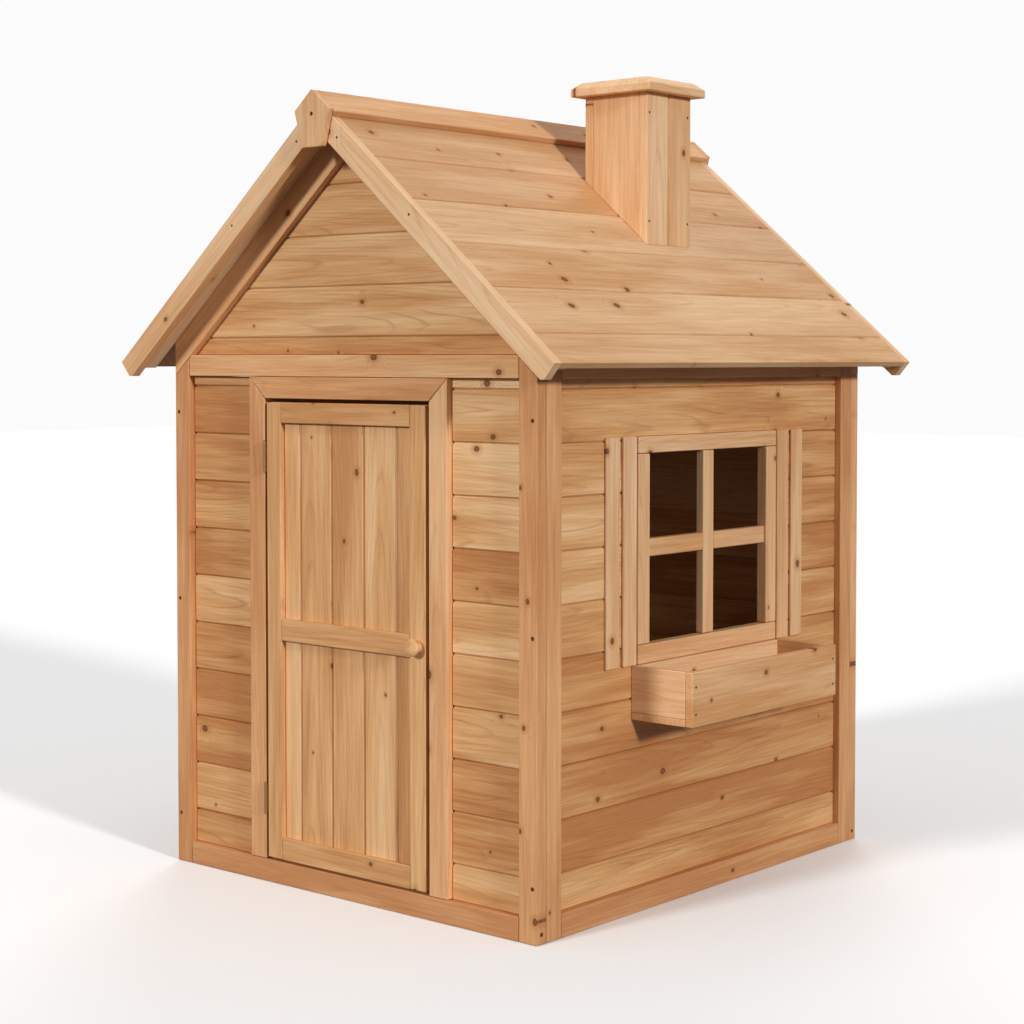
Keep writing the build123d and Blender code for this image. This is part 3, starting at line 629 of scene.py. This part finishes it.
def makeScrews(node):
    work = screwWork
    source = mergedCopy(node)
    bm = bmesh.new()
    for group in islandsOf(source):
        length, middle, axis = max(spansOf(group, worldAxes), key=lambda span: span[0])
        ends = []
        for side in (-1, 1):
            edge = middle + side * length / 2
            ring = [vertex.co for vertex in group
                    if abs(vertex.co.dot(axis) - edge) < work["endSlack"] * mm]
            centre = sum(ring, Vector()) / len(ring)
            ends.append((max((point - centre).length for point in ring), centre, axis * side))
        shankRadius, tip, _ = min(ends, key=lambda end: end[0])
        headRadius, top, out = max(ends, key=lambda end: end[0])
        rim = bmesh.ops.create_circle(bm, cap_ends=False, segments=work["segments"],
                                      radius=headRadius)["verts"]
        rimLoop = list(dict.fromkeys(edge for vertex in rim for edge in vertex.link_edges))
        made = list(rim)

        # the flat of the head, the mouth of the recess and its floor
        mouth = work["armReach"] / work["rim"]
        waist = work["armWaist"] / work["rim"]
        flat, end = work["rim"], work["recessFloor"]
        steps = ((flat, flat, 0.0), (mouth, waist, 0.0), (end, end, work["recessDepth"]))
        loop = rimLoop
        for armShare, otherShare, drop in steps:
            verts, loop = grow(bm, loop)
            for vertex in verts:
                flatPlace = vertex.co.xy
                alongArm = max(abs(flatPlace.x), abs(flatPlace.y))
                onArm = alongArm > work["armWidth"] * flatPlace.length
                share = armShare if onArm else otherShare
                vertex.co.x *= share
                vertex.co.y *= share
                vertex.co.z -= drop * mm
            made += verts
        bmesh.ops.contextual_create(bm, geom=loop)

        # the shank
        verts, loop = grow(bm, rimLoop)
        for vertex in verts:
            vertex.co.x *= shankRadius / headRadius
            vertex.co.y *= shankRadius / headRadius
            vertex.co.z -= work["taper"] * mm
        made += verts
        verts, loop = grow(bm, loop)
        for vertex in verts:
            vertex.co.z -= (top - tip).length - work["tipSpare"] * mm
        made += verts
        bmesh.ops.contextual_create(bm, geom=loop)
        turn = out.to_track_quat("Z", "Y").to_matrix().to_4x4()
        place = Matrix.Translation(top - out * work["sink"] * mm)
        bmesh.ops.transform(bm, matrix=place @ turn, verts=made)
    source.free()
    bmesh.ops.recalc_face_normals(bm, faces=bm.faces)
    putPiece(bm, node + "_crossHead", node, [finishes["screw_steel"]])


for node in ("house_screws", "door_screws"):
    makeScrews(node)
for node in ("hinge_frame_leaves", "hinge_door_leaves", "hinge_pins"):
    mesh = frame["nodes"][node].data
    mesh.materials.clear()
    mesh.materials.append(finishes["hinge_steel"])
print("screws and hinges made")

studio = {
    "floorSize": 40.0,        # m
    "floorColour": "#fdfdfd",
    "backdrop": 0.97,         # brightness behind the object
    "glowAbove": 0.32,        # light from the room, above and below the horizon
    "glowBelow": 0.07,
    "horizon": (-0.35, 0.45),    # where the glow starts to rise and where it is full
    "lampDistance": 3.0,      # m
    "lamps": [
        # name, the way it shines, strength, width in degrees
        ("sideLamp", (-0.937, 0.165, -0.309), 2.05, 6.0),
        ("frontLamp", (0.14, 0.93, -0.34), 1.88, 9.0),
        ("backLamp", (0.50, -0.75, -0.43), 0.95, 30.0),
        ("topLamp", (0.0, 0.0, -1.0), 0.55, 60.0),
    ],
}
floorBm = bmesh.new()
bmesh.ops.create_grid(floorBm, x_segments=1, y_segments=1, size=studio["floorSize"] / 2)
floorMesh = bpy.data.meshes.new("floor")
floorBm.to_mesh(floorMesh)
floorBm.free()
floor = bpy.data.objects.new("floor", floorMesh)
scene.collection.objects.link(floor)
floorMaterial, floorTree = newTree("paintedFloor")
paint = addNode(floorTree, "ShaderNodeBsdfDiffuse", {"Color": hexColour(studio["floorColour"])})
addNode(floorTree, "ShaderNodeOutputMaterial", None, {"Surface": paint})
floorMesh.materials.append(floorMaterial)
floor.visible_diffuse = False     # the floor throws no light back up under the eaves

world = bpy.data.worlds.new("studioWorld")
scene.world = world
world.use_nodes = True
worldTree = world.node_tree
worldTree.nodes.clear()
direction = addNode(worldTree, "ShaderNodeTexCoord")
split = addNode(worldTree, "ShaderNodeSeparateXYZ", None,
                {"Vector": direction.outputs["Generated"]})
glowLevel = addNode(worldTree, "ShaderNodeMapRange",
                    {"From Min": studio["horizon"][0], "From Max": studio["horizon"][1],
                     "To Min": studio["glowBelow"], "To Max": studio["glowAbove"]},
                    {"Value": split.outputs["Z"]})
white = (1, 1, 1, 1)
glow = addNode(worldTree, "ShaderNodeBackground", {"Color": white}, {"Strength": glowLevel})
backdrop = addNode(worldTree, "ShaderNodeBackground",
                   {"Color": white, "Strength": studio["backdrop"]})
rayKind = addNode(worldTree, "ShaderNodeLightPath")
worldMix = addNode(worldTree, "ShaderNodeMixShader", None,
                   {0: rayKind.outputs["Is Camera Ray"], 1: glow, 2: backdrop})
addNode(worldTree, "ShaderNodeOutputWorld", None, {"Surface": worldMix})

for name, towards, strength, width in studio["lamps"]:
    light = bpy.data.lights.new(name, "SUN")
    light.energy = strength
    light.angle = radians(width)
    lamp = bpy.data.objects.new(name, light)
    scene.collection.objects.link(lamp)
    lamp.location = -studio["lampDistance"] * Vector(towards)
    lamp.rotation_euler = Vector(towards).to_track_quat("-Z", "Y").to_euler()

view = {
    "place": (2.575, -3.050, 0.966),
    "pitch": -2.172,          # degrees
    "yaw": 40.516,
    "lens": 71.82,            # mm
    "sensor": 36.0,
    "shiftY": -0.0747,
}
cameraData = bpy.data.cameras.new("camera")
cameraData.sensor_width = view["sensor"]
cameraData.lens = view["lens"]
cameraData.shift_y = view["shiftY"]
camera = bpy.data.objects.new("camera", cameraData)
scene.collection.objects.link(camera)
camera.location = view["place"]
camera.rotation_euler = (radians(90 + view["pitch"]), 0.0, radians(view["yaw"]))
scene.camera = camera
scene.view_settings.view_transform = "Standard"
print("studio set")
